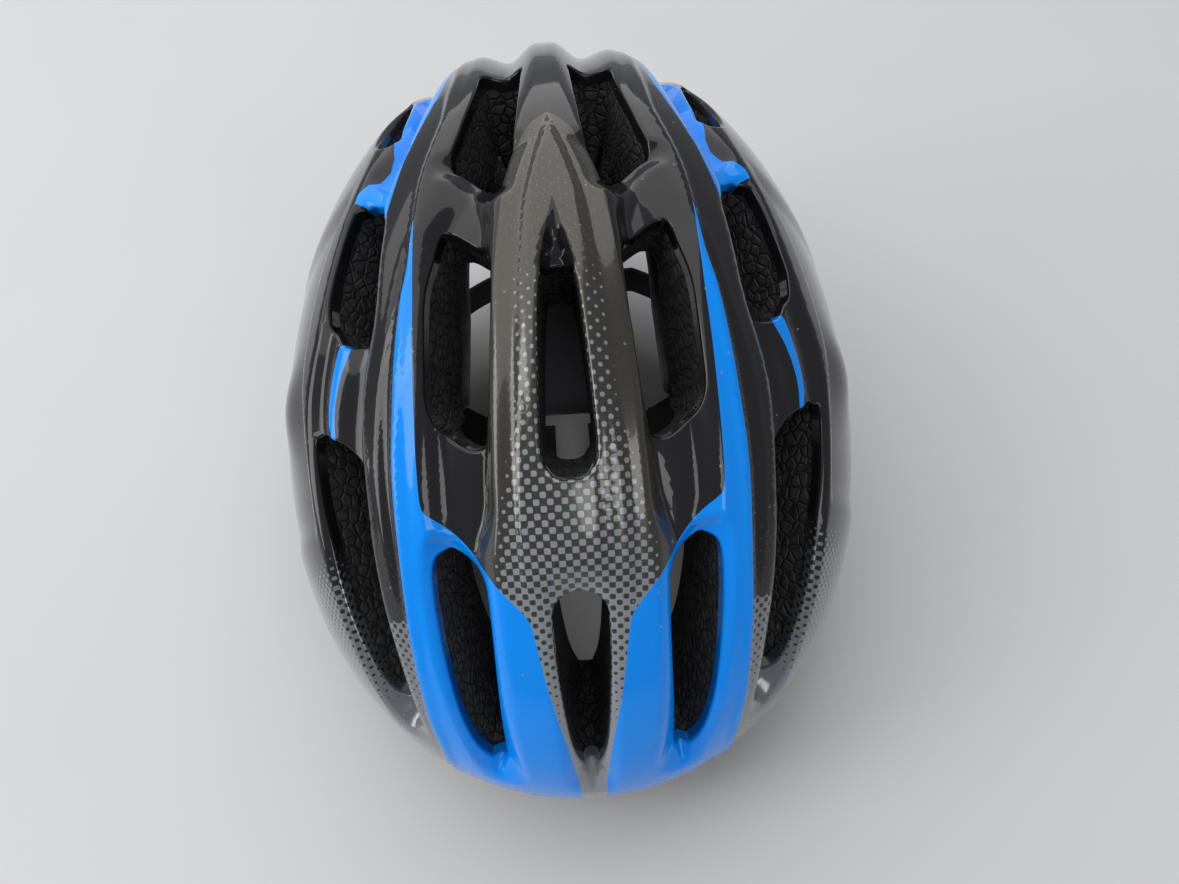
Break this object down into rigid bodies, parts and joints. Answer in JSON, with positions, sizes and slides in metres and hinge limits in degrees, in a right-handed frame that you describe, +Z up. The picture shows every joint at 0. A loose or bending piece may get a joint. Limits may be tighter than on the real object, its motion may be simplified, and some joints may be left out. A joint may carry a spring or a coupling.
{
  "type": "cycling helmet",
  "caption": "Vented road cycling helmet with fluted glossy shell, foam liner, fit pads, dial-adjusted head band and chin straps with a side-release buckle.",
  "frame": {"origin": "middle of the footprint, on the level that the rim rests on", "axes": "+Z up, -Y towards the brow (front), +X towards the wearer's left"},
  "size_m": [0.2076, 0.2961, 0.1685],
  "materials": {
    "shell_gloss": "gloss clear coat with blue and gunmetal zones",
    "eps_foam": "moulded bead foam",
    "pad_fabric": "brushed knit over foam",
    "hook_tape": "hook tape",
    "nylon": "satin moulded nylon",
    "knob_rubber": "soft-touch",
    "steel": "zinc plated",
    "webbing": "woven polyester"
  },
  "bodies": {
    "helmet": {"outer_shell": "shell_gloss", "lower_shell": "shell_gloss", "foam_liner": "eps_foam", "brow_pad": "pad_fabric", "crown_pad": "pad_fabric", "left_side_pad": "pad_fabric", "right_side_pad": "pad_fabric", "left_rear_pad": "pad_fabric", "right_rear_pad": "pad_fabric", "hook_patches": "hook_tape", "left_temple_bushing": "nylon", "right_temple_bushing": "nylon", "height_rail": "nylon", "left_front_anchor": "nylon", "right_front_anchor": "nylon", "left_rear_anchor": "nylon", "right_rear_anchor": "nylon"},
    "cradle": {"cradle_base": "nylon", "cradle_cover": "nylon", "cover_screws": "steel", "height_post": "nylon", "post_rivets": "steel", "left_cradle_pad": "pad_fabric", "right_cradle_pad": "pad_fabric"},
    "left_arm": {"left_band_arm": "nylon", "left_temple_pin": "nylon"},
    "right_arm": {"right_band_arm": "nylon", "right_temple_pin": "nylon"},
    "dial": {"dial_knob": "knob_rubber", "pinion": "nylon", "dial_screw": "steel"},
    "left_strap": {"left_front_strap": "webbing", "left_rear_strap": "webbing", "left_divider": "nylon"},
    "right_strap": {"right_front_strap": "webbing", "right_rear_strap": "webbing", "right_divider": "nylon"},
    "left_chin": {"left_chin_strap": "webbing", "strap_keeper": "knob_rubber", "buckle_socket": "nylon"},
    "right_chin": {"right_chin_strap": "webbing", "chin_pad": "pad_fabric", "buckle_clip": "nylon"}
  },
  "joints": [
    {"name": "cradle_tilt", "type": "hinge", "parent": "helmet", "child": "cradle", "pos_m": [0, -0.06, 0.024], "axis": [1, 0, 0], "range_deg": [-3.5, 3.5]},
    {"name": "dial_turn", "type": "hinge", "parent": "cradle", "child": "dial", "pos_m": [0, 0.088, 0.024], "axis": [0, -1, 0], "range_deg": [0, 114.5]},
    {"name": "left_arm_slide", "type": "slide", "parent": "cradle", "child": "left_arm", "axis": [-1, 0, 0], "range_m": [0, 0.008]},
    {"name": "right_arm_slide", "type": "slide", "parent": "cradle", "child": "right_arm", "axis": [1, 0, 0], "range_m": [0, 0.008]},
    {"name": "left_strap_swing", "type": "hinge", "parent": "helmet", "child": "left_strap", "pos_m": [0.0795, 0.004, 0.008], "axis": [0, -1, 0], "range_deg": [0, 100]},
    {"name": "right_strap_swing", "type": "hinge", "parent": "helmet", "child": "right_strap", "pos_m": [-0.0795, 0.004, 0.008], "axis": [0, 1, 0], "range_deg": [0, 100]},
    {"name": "left_chin_fold", "type": "hinge", "parent": "left_strap", "child": "left_chin", "pos_m": [0.00935, 0.004, 0.00861], "axis": [0, -1, 0], "range_deg": [0, 150]},
    {"name": "right_chin_fold", "type": "hinge", "parent": "right_strap", "child": "right_chin", "pos_m": [-0.00935, 0.004, 0.00861], "axis": [0, 1, 0], "range_deg": [0, 150]}
  ],
  "couplings": [
    {"joint": "left_arm_slide", "follows": "dial_turn", "m_per_rad": 0.004},
    {"joint": "right_arm_slide", "follows": "dial_turn", "m_per_rad": 0.004}
  ]
}
